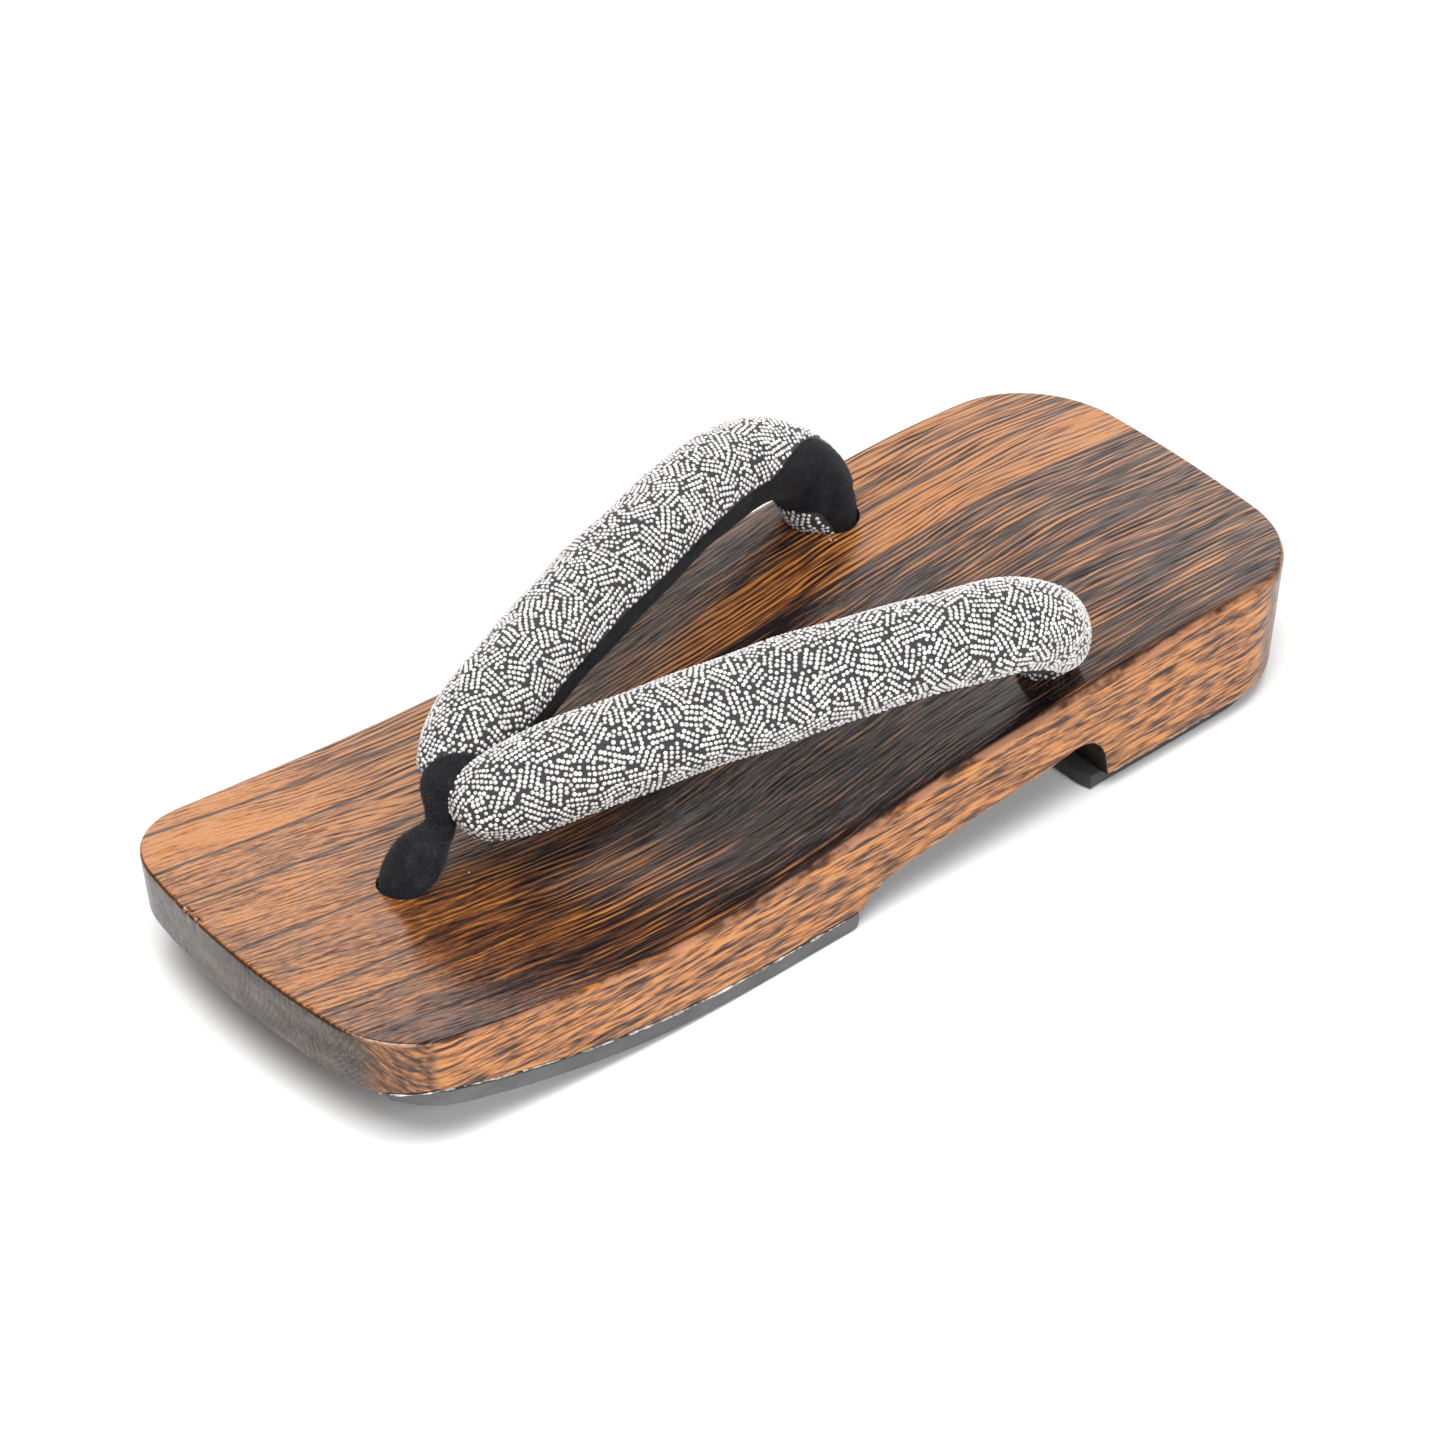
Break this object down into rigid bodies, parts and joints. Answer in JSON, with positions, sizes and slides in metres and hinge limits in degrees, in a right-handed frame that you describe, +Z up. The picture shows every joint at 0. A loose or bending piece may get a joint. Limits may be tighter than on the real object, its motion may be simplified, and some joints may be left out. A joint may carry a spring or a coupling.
{
  "type": "geta sandal",
  "caption": "Laminated wooden thong sandal with a curved deck, heel block, padded V straps, a soft toe loop and thin rubber grip soles; worn open on the foot",
  "frame": {"origin": "on the floor, under the middle of the sandal's box", "axes": "+Z up, -Y towards the toe, +Y towards the heel, +X towards the wearer's left"},
  "size_m": [0.0985, 0.2549, 0.0619],
  "materials": {
    "wood": "burnt and brushed laminated wood with a satin varnish",
    "sole_rubber": "matt charcoal rubber sheet",
    "strap_cloth": "black cloth covered with small white dots in short rows, black velvet lining",
    "velvet": "black brushed velvet"
  },
  "bodies": {
    "root": {"wood_deck": "wood", "front_rubber_sole": "sole_rubber", "heel_rubber_sole": "sole_rubber", "strap_pair": "strap_cloth", "toe_thong": "velvet"}
  },
  "joints": []
}
